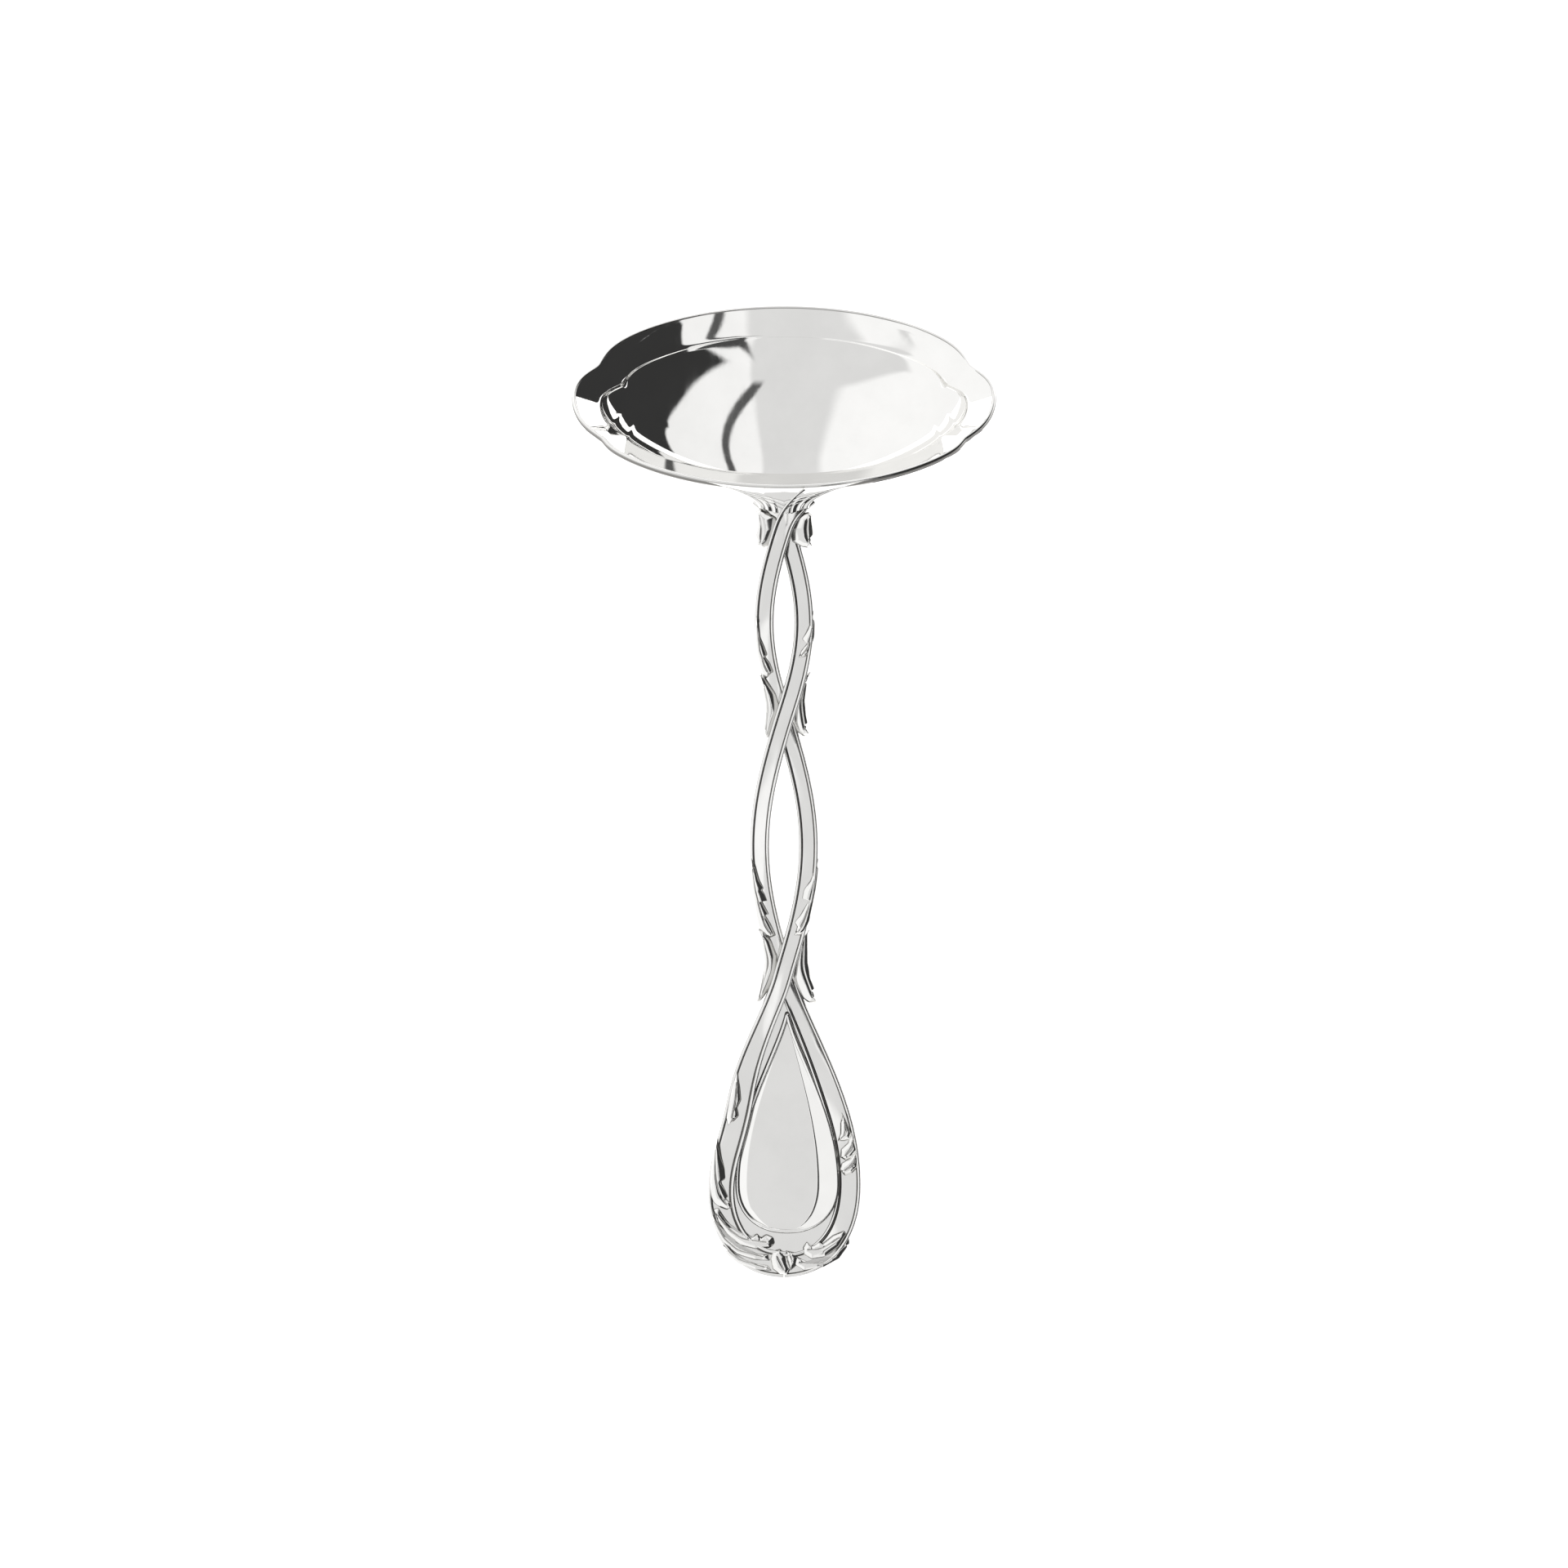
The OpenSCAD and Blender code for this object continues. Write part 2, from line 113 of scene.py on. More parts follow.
def skin(rings, closed=False):
    """Points and faces of a skin over rings of equal count; open ends get a fan."""
    rings = np.asarray(rings, float)
    m, n = rings.shape[:2]
    verts = rings.reshape(-1, 3)
    faces = []
    last = m if closed else m - 1
    for i in range(last):
        a, b = i * n, ((i + 1) % m) * n
        for j in range(n):
            k = (j + 1) % n
            faces.append((a + j, a + k, b + k, b + j))
    if not closed:
        verts = np.vstack([verts, rings[0].mean(0), rings[-1].mean(0)])
        faces += [(m * n, (j + 1) % n, j) for j in range(n)]
        e = (m - 1) * n
        faces += [(m * n + 1, e + j, e + (j + 1) % n) for j in range(n)]
    return verts, faces


def smooth_open(x, sigma):
    """Gaussian smoothing down the first axis, with both ends held."""
    half = max(1, int(3 * sigma))
    k = np.exp(-0.5 * (np.arange(-half, half + 1) / sigma) ** 2)
    k /= k.sum()
    head, tail = x[:1], x[-1:]
    pad = np.concatenate([2 * head - x[half:0:-1], x, 2 * tail - x[-2:-half - 2:-1]])
    return sum(k[i] * pad[i:i + len(x)] for i in range(2 * half + 1))


def resample(points, n, closed=False):
    """n evenly spaced points along a line."""
    p = np.asarray(points, float)
    if closed:
        p = np.vstack([p, p[:1]])
    d = np.r_[0, np.cumsum(np.linalg.norm(np.diff(p, axis=0), axis=1))]
    t = np.linspace(0, d[-1], n, endpoint=not closed)
    return np.stack([np.interp(t, d, p[:, i]) for i in range(p.shape[1])], 1)


def soften(p, sigma, closed=True):
    """Rounds the corners of an evenly sampled closed or open line."""
    half = int(3 * sigma) + 1
    k = np.exp(-0.5 * (np.arange(-half, half + 1) / sigma) ** 2)
    k /= k.sum()
    if closed:
        return sum(k[i] * np.roll(p, half - i, axis=0) for i in range(2 * half + 1))
    return smooth_open(p, sigma)


# ---------------------------------------------------------------- materials
def silver(name, base, rough, dark):
    """Polished silver, faintly clouded and brushed, that darkens with painted shade where its per-point
    shade attribute is high.
    """
    mat = bpy.data.materials.new(name)
    mat.use_nodes = True
    nt = mat.node_tree
    nt.nodes.clear()
    out = nt.nodes.new("ShaderNodeOutputMaterial")
    bsdf = nt.nodes.new("ShaderNodeBsdfPrincipled")
    nt.links.new(bsdf.outputs[0], out.inputs[0])
    bsdf.inputs["Metallic"].default_value = 1.0
    bsdf.inputs["Specular IOR Level"].default_value = 0.5
    where = nt.nodes.new("ShaderNodeTexCoord")

    def noise(scale, detail, stretch=(1, 1, 1)):
        shape = nt.nodes.new("ShaderNodeMapping")
        shape.inputs["Scale"].default_value = stretch
        nt.links.new(where.outputs["Object"], shape.inputs[0])
        n = nt.nodes.new("ShaderNodeTexNoise")
        n.inputs["Scale"].default_value = scale
        n.inputs["Detail"].default_value = detail
        nt.links.new(shape.outputs[0], n.inputs["Vector"])
        return n.outputs["Fac"]

    def between(fac, a, b, low=0.35, high=0.65):
        r = nt.nodes.new("ShaderNodeMapRange")
        r.inputs["From Min"].default_value = low
        r.inputs["From Max"].default_value = high
        r.inputs["To Min"].default_value = a
        r.inputs["To Max"].default_value = b
        nt.links.new(fac, r.inputs["Value"])
        return r.outputs[0]

    def mix(kind, fac, a, b):
        m = nt.nodes.new("ShaderNodeMix")
        m.data_type = kind
        nt.links.new(fac, m.inputs["Factor"])
        ins = {"RGBA": (6, 7, 2), "FLOAT": (2, 3, 0)}[kind]
        for v, i in ((a, ins[0]), (b, ins[1])):
            if isinstance(v, (tuple, float, int)):
                m.inputs[i].default_value = v
            else:
                nt.links.new(v, m.inputs[i])
        return m.outputs[ins[2]]

    # Painted shade: the base colour goes dark, and rougher, where the per-point shade attribute is high
    shade_amount = nt.nodes.new("ShaderNodeAttribute")
    shade_amount.attribute_name = "crevice_shade"
    cloud = noise(160.0, 4.0)
    tint = mix("RGBA", between(cloud, 0.0, 1.0), (*base, 1), (*[c * 0.965 for c in base], 1))
    colour = mix("RGBA", shade_amount.outputs["Fac"], tint, (*dark, 1))
    nt.links.new(colour, bsdf.inputs["Base Color"])
    fine = noise(700.0, 5.0, (1.0, 0.25, 1.0))
    polish = between(fine, rough * 0.7, rough * 1.4)
    nt.links.new(mix("FLOAT", shade_amount.outputs["Fac"], polish, 0.34), bsdf.inputs["Roughness"])
    bump = nt.nodes.new("ShaderNodeBump")
    bump.inputs["Strength"].default_value = 0.05
    bump.inputs["Distance"].default_value = 0.00004
    nt.links.new(noise(420.0, 3.0), bump.inputs["Height"])
    nt.links.new(bump.outputs[0], bsdf.inputs["Normal"])
    return mat


MATERIALS = {
    "polished_silver": silver("polished_silver", (0.93, 0.925, 0.91), 0.035, (0.15, 0.145, 0.135)),
    "chased_silver": silver("chased_silver", (0.92, 0.915, 0.90), 0.11, (0.19, 0.185, 0.175)),
}


# ---------------------------------------------------------------- bowl
def to_world(b, z0=0.0):
    """From the bowl's axes, with z down from its mouth, to the ladle's."""
    return np.stack([b[..., 0], Y_BOWL + b[..., 1] * COS - b[..., 2] * SIN,
                     z0 - b[..., 1] * SIN - b[..., 2] * COS], -1)


def notch(q, at, far_w, near_w):
    """A dent in the rim, 1 at the angle at, wider on the far side than on the near side."""
    return np.exp(-(np.abs(q - at) / np.where(q > at, far_w, near_w)) ** 1.6)


def from_lip(a):
    """Angle from the pouring lips: 90 at the far middle of the rim, -90 at the neck."""
    return np.degrees(np.arcsin(np.clip(sind(a), -1, 1)))


def rim_scale(a):
    """How far the notches draw in the oval rim."""
    q = from_lip(a)
    return 1 - FAR_NOTCH * notch(q, 21, 11, 8) - NEAR_NOTCH * notch(q, -28, 8, 5)


# The chased folds on one side, seen from above: line, height, width
FOLDS = [
    ([(36.0, 66.3), (32.6, 66.2), (30.6, 69.6), (28.4, 71.9), (25.9, 73.5)], 0.16, 0.7),
    ([(29.6, 61.4), (29.1, 65.2), (27.4, 69.4), (25.5, 72.9)], 0.14, 0.7),
    ([(34.6, 78.2), (31.5, 79.7), (27.2, 82.3), (23.4, 85.0), (18.0, 87.0)], 0.16, 1.2),
    ([(38.6, 68.9), (36.2, 68.0), (34.1, 67.9)], 0.12, 0.8),
]


def line_distance(p, line, n=80):
    """Distance from points to a line seen from above, and how far along the line the nearest point is."""
    q = resample(line, n)
    best = np.full(p.shape[:-1], 1e9)
    along = np.zeros(p.shape[:-1])
    for i in range(n):
        d = np.hypot(p[..., 0] - q[i, 0], p[..., 1] - q[i, 1])
        hit = d < best
        best = np.where(hit, d, best)
        along = np.where(hit, i / (n - 1), along)
    return best, along


def fold_rise(w):
    """Height of the chased folds over the bowl's surface."""
    p = np.stack([np.abs(w[..., 0]), w[..., 1]], -1)
    rise = np.zeros(p.shape[:-1])
    for line, high, wide in FOLDS:
        d, s = line_distance(p, line)
        ridge = np.exp(-(np.sqrt(d * d + 0.04) - 0.2) / wide * 1.5)
        rise = np.maximum(rise, high * (1 - step(0.45, 1.0, s)) * ridge)
    return rise


def bowl_surfaces():
    """The bowl's inside, finely ringed, and its outside with every third ring."""
    n, deep, m, rings = 360 * FINE, 320, 700, 95 * FINE
    a = np.arange(n) * 360 / n
    rows = [body_point(a, p, 0) for p in np.linspace(0.6, 88, deep)]
    rows += [lip_point(a, t, 0) for t in np.linspace(0, 1, 90)]
    rows = np.array(rows)
    # even spacing along the profile, a rounded step, then rings gathered where it bends
    ref = rows[:, 0]
    d = np.r_[0, np.cumsum(np.linalg.norm(np.diff(ref, axis=0), axis=1))]
    t = np.linspace(0, d[-1], m)
    flat = rows.reshape(len(rows), -1)
    flat = np.stack([np.interp(t, d, flat[:, i]) for i in range(flat.shape[1])], 1)
    flat = smooth_open(flat, 0.4 / (d[-1] / m))
    at = d[deep]
    dense = 1 / 0.55 + 4.0 * np.exp(-((t - at) / 1.6) ** 2) + 1.2 * (t > at)
    pick = np.cumsum(dense)
    pick = (pick - pick[0]) / (pick[-1] - pick[0])
    want = np.interp(np.linspace(0, 1, rings), pick, np.arange(m))
    flat = np.stack([np.interp(want, np.arange(m), flat[:, i]) for i in range(flat.shape[1])], 1)
    world = to_world(flat.reshape(rings, n, 3))
    du = np.roll(world, -1, 1) - np.roll(world, 1, 1)
    dv = np.gradient(world, axis=0)
    nrm = unit(np.cross(du, dv))
    if nrm[rings // 3, 0, 2] < 0:
        nrm = -nrm
    rise = fold_rise(world)
    inner = world + nrm * rise[..., None]
    outer = world + nrm * (rise * 0.8 - WALL + 0.01)[..., None]
    keep = np.unique(np.r_[0:rings:3, rings - 1])
    return inner, outer[keep]


def lip_high(a):
    """How far the lip rises from the fold line to the rim: most at the far lobes."""
    q = from_lip(a)
    return LIP_H + LIP_GAIN * (step(2, 30, q) - 0.6 * step(45, 75, q))


def lip_point(a, t, drop):
    """The lip's inside, from the fold line at t = 0 to the rim at t = 1."""
    r, k = LIP_W * (1 - t) + THREAD_R * 0.6, rim_scale(a)
    return np.stack([(BOWL_W / 2 - r) * k * cosd(a), (BOWL_L / 2 - r) * k * sind(a),
                     lip_high(a) * (1 - t) + drop], -1)


def body_point(a, p, extra):
    """The deep part's inside, from the lowest point at p = 0 to the fold line at p = 90."""
    k = 1 - (1 - rim_scale(a)) * sind(p) ** 4
    fall = cosd(p) ** (1.44 + 0.5 * sind(a) ** 2)
    return np.stack([(BODY_A * k + extra) * sind(p) * cosd(a),
                     (BODY_B * k + extra) * sind(p) * sind(a) + BOWL_LEAN * cosd(p) ** 2,
                     LIP_H + (lip_high(a) - LIP_H) * sind(p) ** 6 + (BODY_D + extra) * fall], -1)


def thread_ring(a, w):
    """The rim thread's surface at angles a round the rim and w round its own section, in the bowl's axes."""
    k, r = rim_scale(a), THREAD_R * 0.6
    c = np.stack([(BOWL_W / 2 - r) * k * cosd(a), (BOWL_L / 2 - r) * k * sind(a), WALL / 2 + 0 * a], -1)
    out = unit(np.stack([BOWL_L * cosd(a), BOWL_W * sind(a), 0 * a], -1))
    up = np.array([0, 0, (WALL / 2 + 0.1) * sind(w)])
    return c + out * (r * 0.4 - RIM_SHY + THREAD_R * cosd(w)) + up


INNER, OUTER = bowl_surfaces()
THREAD_W = np.arange(20) * 18.0
RIM = np.array([thread_ring(np.arange(480 * FINE) * 0.75 / FINE, w) for w in THREAD_W])
Z_BOWL = TABLE_GAP - min(OUTER[..., 2].min(), to_world(RIM)[..., 2].min())
Z_APEX = Z_BOWL + BOWL_L / 2 * SIN + APEX_RISE


def bowl_shell():
    rings = np.concatenate([INNER, OUTER[::-1]]) + np.array([0, 0, Z_BOWL])
    verts, faces = skin(rings)
    make("silver_bowl", "bowl_shell", "polished_silver", verts, [f[::-1] for f in faces], None, 50)


def rim_thread():
    w = THREAD_W
    # Painted shade on the thread's outer flank and on its inner flank, where it meets the lip
    dark = 0.95 * np.exp(-((cosd(w) - 1) / 0.3) ** 2) + 0.9 * np.exp(-((cosd(w) + 0.8) / 0.3) ** 2)
    rings = to_world(RIM.transpose(1, 0, 2), Z_BOWL)
    verts, faces = skin(rings, closed=True)
    make("rim_bead", "rim_thread", "polished_silver", verts, faces, np.tile(dark.clip(0, 1), len(rings)))


# ---------------------------------------------------------------- handle
def rise_share(t):
    """Share of the handle's height at a share of its length, level at both ends."""
    return (t - ((2 * t - 1) ** 5 + 1) / 10) / 0.8


def handle_z(y):
    """Height of the middle of the handle's thickness."""
    y = np.asarray(y, float)
    return Z_REST + (Z_APEX - Z_REST) * rise_share(np.abs(y - Y_REST) / (Y_APEX - Y_REST))


def handle_up(y):
    """Direction square to the handle."""
    y = np.asarray(y, float)
    s = handle_z(y - 0.5) - handle_z(y + 0.5)
    return unit(np.stack([0 * s, s, 1 + 0 * s], -1))


def ribbon_x(y):
    """The first ribbon's line, seen from above; the second is its mirror image."""
    y = np.asarray(y, float)
    return np.select(
        [y > CROSS_1, y > CROSS_2, y > CROSS_3],
        [0.32 * (y - CROSS_1) + 0.1 * (y - CROSS_1) ** 2,
         -LOOP_1_A * sind(180 * (CROSS_1 - y) / LOOP_1_L),
         LOOP_2_A * sind(180 * (CROSS_2 - y) / LOOP_2_L)],
        -END_A * np.maximum(0, sind(90 * np.minimum(1, (CROSS_3 - y) / (CROSS_3 - Y_WIDE)))) ** 1.25)


def drawn_in(y, side):
    """The first ribbon bends inwards above the teardrop's left side."""
    return np.where((side > 0) & (y < CROSS_3), 1.2 * np.exp(-((y - Y_WIDE - 11) / 8) ** 2), 0)


def ribbon_lift(y, side):
    """How far a ribbon lies over or under the other at the crossings."""
    y = np.asarray(y, float)
    w = sind(90 * np.clip((CROSS_3 - y) / 14, 0, 1)) ** 2
    return np.select(
        [y > CROSS_1, y > CROSS_2, y > CROSS_3],
        [side * TWIST_H * cosd(15 * (y - CROSS_1)) - 0.05 * (y - CROSS_1) ** 2,
         side * TWIST_H * cosd(180 * (CROSS_1 - y) / LOOP_1_L),
         -side * TWIST_H * cosd(180 * (CROSS_2 - y) / LOOP_2_L)],
        side * TWIST_H * (1 - w) + END_LIFT * w)


def ribbon_path(side):
    """A ribbon's line from the neck round its half of the teardrop."""
    y = np.arange(CROSS_1 + 5.4, Y_WIDE + 0.2, -0.35 / FINE * 2)
    a = np.arange(0, 90.01, 1.5)
    upper = np.stack([side * ribbon_x(y) + drawn_in(y, side), y], -1)
    ya = Y_WIDE - END_B * sind(a) ** 0.9
    lower = np.stack([-side * END_A * cosd(a).clip(0) ** 0.9 + drawn_in(ya, side) * cosd(a), ya], -1)
    p = np.vstack([upper, lower])
    p = resample(p, 330 * FINE)
    return smooth_open(p, 3.0 * FINE)


def inner_growth(y, side):
    """How much further than half its width a ribbon reaches inwards round the teardrop."""
    reach = 1.35 if side > 0 else 0.95
    return reach * step(CROSS_3 - 6, CROSS_3 - 26, y)


def section():
    """Across a ribbon: share of the half width, height, painted shade. Beads run along both edges."""
    pts = []
    for u in np.linspace(-0.99, 0.99, 84):
        w = abs(u)
        # Painted shade in the groove inside each bead and along the ribbon's edge
        dark = 0.95 * math.exp(-((w - BEAD_FROM) / 0.055) ** 2) + 0.8 * math.exp(-((w - 1.0) / 0.06) ** 2)
        if w > BEAD_FROM:
            h = RIBBON_T / 2 - CHANNEL_D + CHANNEL_D * math.sqrt(max(0, 1 - ((w - 0.82) / 0.18) ** 2))
        else:
            h = RIBBON_T / 2 - CHANNEL_D - 0.05 * (w / 0.6) ** 2 - 0.12 * step(0.56, BEAD_FROM, w)
        pts.append((u, h, min(1, dark)))
    for u, h in ((1.0, 0.45), (1.0, 0.1), (1.0, -0.35), (0.95, -0.75), (0.82, -1.0), (0.6, -RIBBON_T / 2),
                 (0.2, -RIBBON_T / 2), (-0.2, -RIBBON_T / 2), (-0.6, -RIBBON_T / 2), (-0.82, -1.0),
                 (-0.95, -0.75), (-1.0, -0.35), (-1.0, 0.1), (-1.0, 0.45)):
        # Painted shade on the side walls, darker on their upper part
        pts.append((u, h, 0.45 if h > -0.5 else 0.1))
    return np.array(pts)


def ribbon(side, name, node):
    p = ribbon_path(side)
    y = p[:, 1]
    t = unit(np.gradient(p, axis=0))
    across = np.stack([-t[:, 1], t[:, 0]], -1)
    u, height, shade_amount = section().T
    lift = handle_z(y) + ribbon_lift(y, side) - CROWN_SHY * step(CROSS_1 - 6, CROSS_1 - 1, y)
    reach = np.where(y > CROSS_2, LOOP_1_A, np.where(y > CROSS_3, LOOP_2_A, END_A))
    roll = -CHANNEL_ROLL * np.clip(np.abs(p[:, 0]) / reach, 0, 1) * across[:, 0]
    roll = roll * (1 - step(CROSS_1 - 2, CROSS_1 + 1, y))
    # the inner bead keeps its width and the channel takes the growth
    grow = np.sign(u) * inner_growth(y, side)[:, None] * np.clip(np.abs(u) / 0.7, 0, 1)
    x = u * RIBBON_W / 2 + np.where(u * side > 0, grow, 0)
    rings = np.zeros((len(p), len(u), 3))
    rings[..., :2] = p[:, None] + across[:, None] * x[..., None]
    rings[..., 2] = lift[:, None]
    high = height - np.clip(height + 1.1, 0, 1) * roll[:, None] * x
    rings += handle_up(y)[:, None] * high[..., None]
    verts, faces = skin(rings)
    make(name, node, "chased_silver", verts, faces, np.r_[np.tile(shade_amount, len(p)), 0, 0], 60)


def hermite(p, q, v, w, t):
    """A fan of curves from p to q, leaving along v and arriving along w."""
    t = t[:, None, None]
    start, end = 2 * t ** 3 - 3 * t ** 2 + 1, 3 * t ** 2 - 2 * t ** 3
    return p * start + v * (t ** 3 - 2 * t ** 2 + t) + q * end + w * (t ** 3 - t ** 2)


def neck_shoulder():
    u = np.linspace(-1, 1, 60 * FINE)
    t = np.linspace(0, 1, 36 * FINE)
    zero, round_off = 0 * u, np.sqrt(1.05 - u * u)
    angle, foot_x, foot_y = -90 + 26 * u, 4.6 * u, CROSS_1 + 1.9 + 1.4 * abs(u)
    top = hermite(to_world(lip_point(angle, 1, 0.3), Z_BOWL),
                  np.stack([foot_x, foot_y, handle_z(foot_y) + 1.3 * round_off], -1),
                  np.stack([-9 * u, -3 + zero, 4.5 + zero], -1), np.array([0, -7.0, 0]), t)
    low = hermite(to_world(body_point(angle, 66, WALL * 0.7), Z_BOWL),
                  np.stack([foot_x, foot_y, handle_z(foot_y) - 1.5 * round_off], -1),
                  np.stack([-4 * u, -5 + zero, 2 + zero], -1), np.array([0, -5.0, 1.0]), t)
    tt, uu = t[:, None], np.abs(u)[None]
    normal = unit(np.cross(np.gradient(top, axis=0), np.gradient(top, axis=1)))
    normal *= np.sign(normal[..., 2:3])
    fan = sum(0.22 * np.exp(-((uu - c) / 0.06) ** 2) for c in (0.34, 0.62, 0.9)) * step(0.35, 0.9, tt)
    lines = sum(np.exp(-((tt + 0.3 * uu - c) / 0.022) ** 2) for c in (0.62, 0.74, 0.86))
    lines = lines * (1 - step(0.75, 0.95, uu))
    creases = sum(np.exp(-((uu - c) / 0.03) ** 2) for c in (0.24, 0.48, 0.76)) * step(0.45, 0.9, tt)
    edge = np.exp(-(tt / 0.035) ** 2)
    top = top + normal * (fan - 0.10 * lines - 0.12 * creases - 0.1 * edge)[..., None]
    # Painted shade in the engraved lines and creases, and along the edge where the neck leaves the rim
    shade_amount = np.clip(0.5 * lines + 0.6 * creases + 0.6 * edge, 0, 1)
    rings = np.concatenate([top, low[:, ::-1]], 1)
    dark = np.concatenate([shade_amount, 0 * shade_amount], 1).ravel()
    verts, faces = skin(rings)
    make("neck_trumpet", "neck_shoulder", "polished_silver", verts, [f[::-1] for f in faces],
         np.r_[dark, 0, 0], 60)


# ---------------------------------------------------------------- leaves
def placed(points, y0):
    """Points measured from y0, in the ladle's frame."""
    return np.asarray(points, float) + (0, y0)


def leaf_part(outline, spine, high, base, deep, y0, vein=0.25, n=150, m=12):
    """A puffed leaf: rings run from its ragged outline to its spine, so that ridges lead to the tips."""
    edge = soften(resample(placed(outline, y0), n * FINE, closed=True), 0.9 * FINE)
    area = 0.5 * np.sum(edge[:, 0] * np.roll(edge[:, 1], -1) - edge[:, 1] * np.roll(edge[:, 0], -1))
    if area < 0:
        edge = edge[::-1]
    mid = resample(placed(spine, y0), 60)
    d = np.linalg.norm(edge[:, None] - mid[None], axis=-1)
    w = np.exp(-(d - d.min(1, keepdims=True)) / 0.35)
    foot = (w[..., None] * mid[None]).sum(1) / w.sum(1)[:, None]
    foot = soften(foot, 2.0 * FINE)
    rings, dark = [], []
    span = np.linalg.norm(edge - foot, axis=1)
    soft = np.clip(span / 1.0, 0.25, 1.0)
    for f in np.r_[0, 0.02, np.linspace(0.06, 0.985, m)]:
        p = edge * (1 - f) + foot * f
        rise = high * soft * (1 - (1 - f) ** 2.4) - vein * np.exp(-((1 - f) / 0.10) ** 2)
        side = f < 0.01
        z = base(p[:, 0], p[:, 1]) + rise - (0.12 if side else 0)
        rings.append(np.column_stack([p, z]))
        # Painted shade along the leaf's edge and in the vein at its spine; the edge wall and underside get
        # more
        shade_amount = 0.55 * math.exp(-((f - 0.02) / 0.05) ** 2) + 0.5 * math.exp(-((1 - f) / 0.07) ** 2)
        dark.append(np.full(len(p), 0.8 if side else shade_amount))
    z = base(edge[:, 0], edge[:, 1]) - deep
    rings.insert(0, np.column_stack([edge, z]))
    dark.insert(0, np.full(len(edge), 0.8))
    c = edge * 0.5 + foot * 0.5
    rings.insert(0, np.column_stack([c, base(c[:, 0], c[:, 1]) - deep]))
    dark.insert(0, np.full(len(edge), 0.3))
    verts, faces = skin(rings)
    return verts, faces, np.r_[np.concatenate(dark), 0.3, 0.3]


def leaf(name, node, base, y0, parts):
    """A leaf of one or more lobes, over the surface base."""
    verts, faces, dark, at = [], [], [], 0
    for outline, spine, high, deep in parts:
        v, f, k = leaf_part(outline, spine, high, base, deep, y0)
        verts.append(v)
        faces += [tuple(i + at for i in face) for face in f]
        dark.append(k)
        at += len(v)
    make(name, node, "chased_silver", np.vstack(verts), faces, np.concatenate(dark), 50)


def on_ribbon(side):
    """The surface that a leaf over a ribbon starts from."""
    return lambda x, y: handle_z(y) + ribbon_lift(y, side) + RIBBON_T / 2 - 0.22


def beside(x, y):
    """The surface that a leaf beside a crossing starts from."""
    return handle_z(y) + 0.15


def on_border(x, y):
    """The surface that a leaf on the teardrop's border starts from."""
    return handle_z(y) + END_LIFT + RIBBON_T / 2 - 0.3
